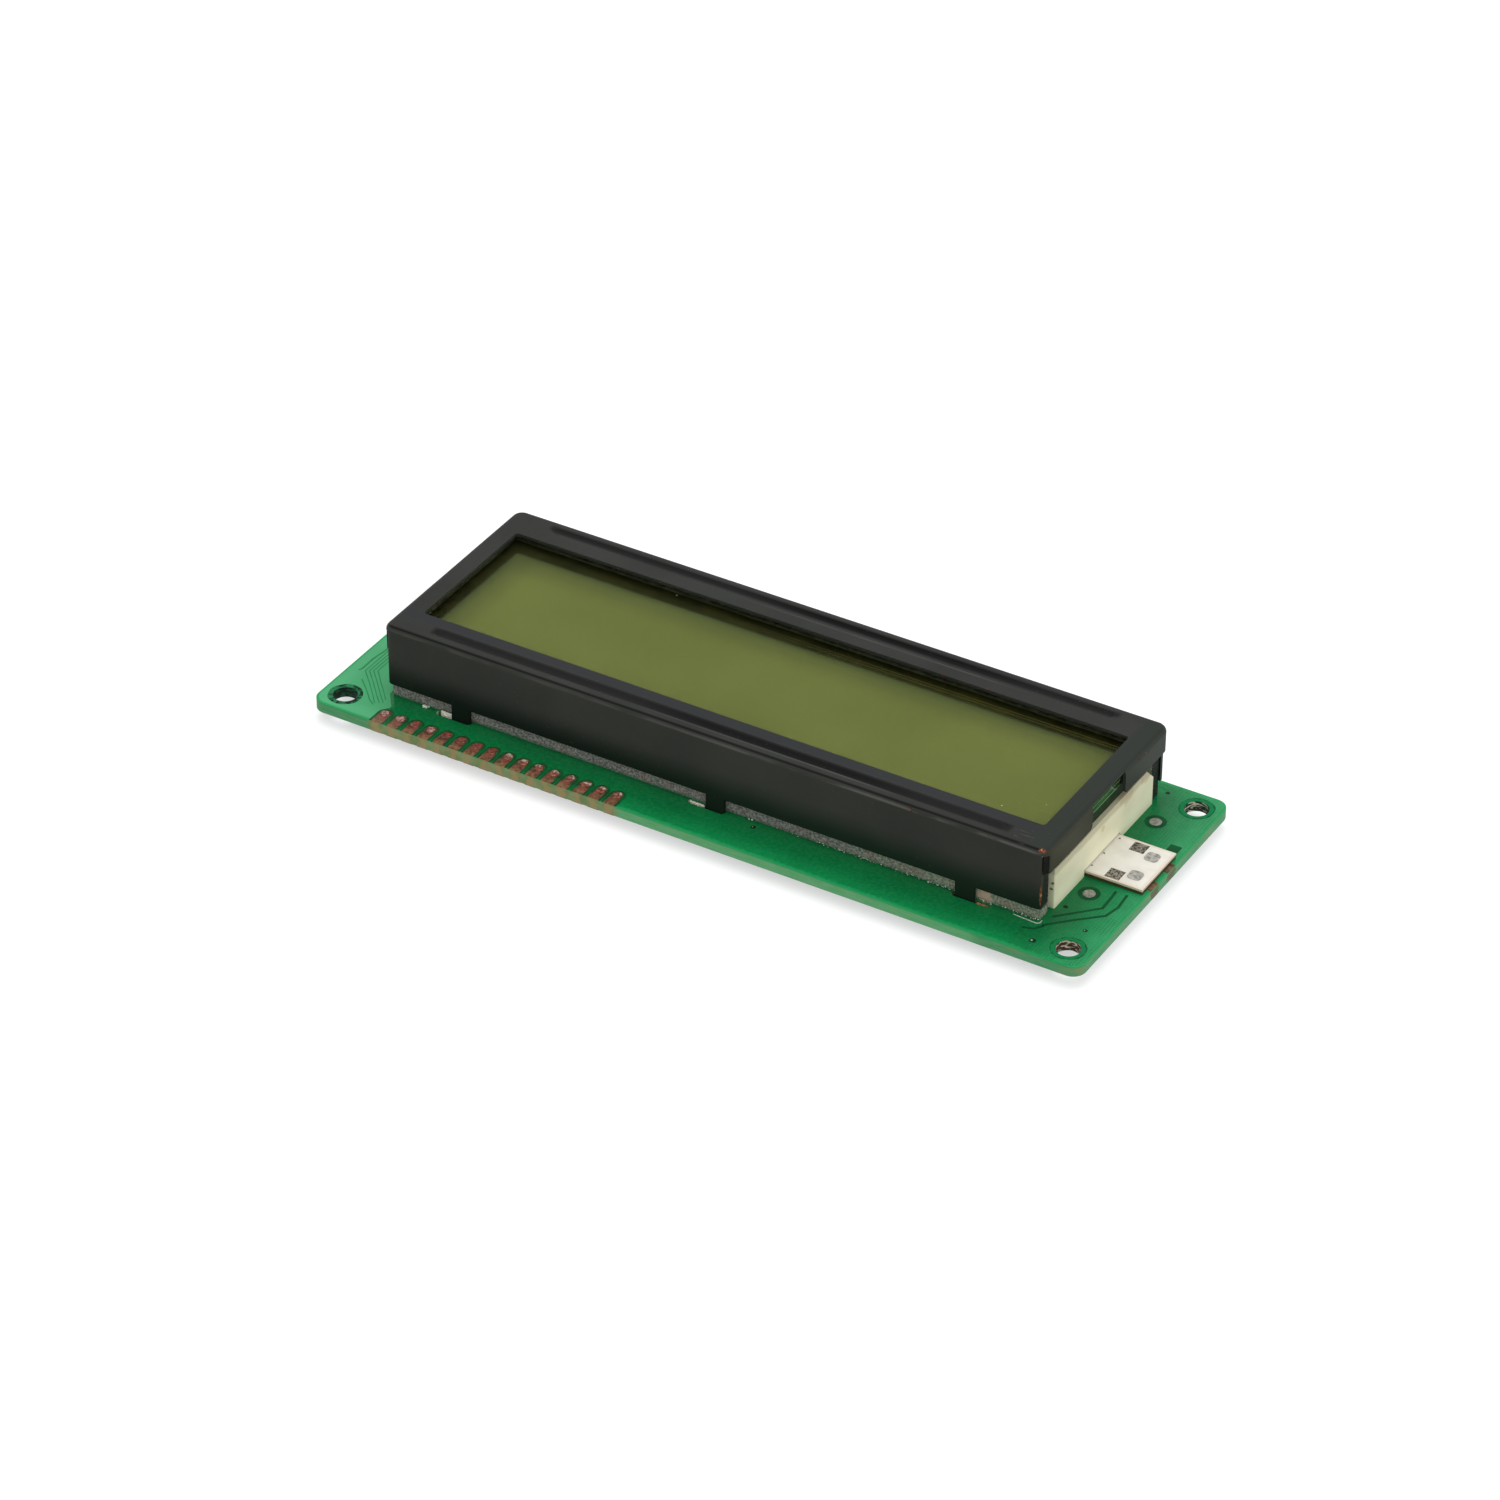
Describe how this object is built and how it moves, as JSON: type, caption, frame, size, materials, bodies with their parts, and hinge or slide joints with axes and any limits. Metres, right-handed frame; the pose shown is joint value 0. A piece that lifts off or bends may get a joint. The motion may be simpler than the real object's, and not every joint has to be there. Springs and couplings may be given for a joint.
{
  "type": "character lcd module",
  "caption": "Flat display module: a blank yellow-green glass screen in a black folded steel bezel on a green circuit board.",
  "frame": {"origin": "under the middle of the circuit board, on the plane that the six twisted tab ends stand on", "axes": "+X along the board, with the connector row towards -X and the backlight tab at +X; +Y towards the back edge, away from the connector row; +Z out of the screen"},
  "size_m": [0.122, 0.044, 0.0152],
  "materials": {
    "board_laminate": "green solder mask over glass-fibre laminate",
    "tarnished_copper": "tarnished copper with dull solder",
    "solder": "dull solder",
    "gold_fingers": "thin gold plating",
    "strip_rubber": "grey conductive rubber, dusty",
    "ivory_plastic": "ivory moulded plastic, yellowed in places",
    "white_laminate": "white solder mask over laminate",
    "led_package": "clear resin over a die",
    "diffuser_plastic": "translucent white",
    "diffuser_sheet": "matt film",
    "foam": "black foam tape",
    "rear_film": "yellow-green transflective film",
    "front_film": "clear neutral polarizing film",
    "cell_glass": "clear float glass",
    "seal_resin": "cured resin seal",
    "cell_fluid": "thin liquid layer, yellow-green through the polarizers",
    "plug_resin": "clear cured resin",
    "black_steel": "black finish on folded steel, satin, with rust at worn edges",
    "silicon": "bare silicon die",
    "resin_cover": "black potting resin",
    "resistor_body": "black glazed chip",
    "capacitor_body": "tan chip"
  },
  "bodies": {
    "root": {"circuit_board": "board_laminate", "connector_pads": "tarnished_copper", "backlight_pads": "tarnished_copper", "fiducial_marks": "solder", "contact_fingers": "gold_fingers", "front_contact_strip": "strip_rubber", "rear_contact_strip": "strip_rubber", "backlight_housing": "ivory_plastic", "led_board": "white_laminate", "led_board_pads": "solder", "led_chips": "led_package", "diffuser_block": "diffuser_plastic", "diffuser_film": "diffuser_sheet", "foam_tape": "foam", "rear_polarizer": "rear_film", "rear_glass": "cell_glass", "cell_seal": "seal_resin", "liquid_crystal": "cell_fluid", "front_glass": "cell_glass", "front_polarizer": "front_film", "fill_plug": "plug_resin", "bezel": "black_steel", "controller_die": "silicon", "controller_cover": "resin_cover", "driver_die": "silicon", "driver_cover": "resin_cover", "chip_resistors": "resistor_body", "chip_capacitors": "capacitor_body", "chip_end_caps": "solder"}
  },
  "joints": []
}
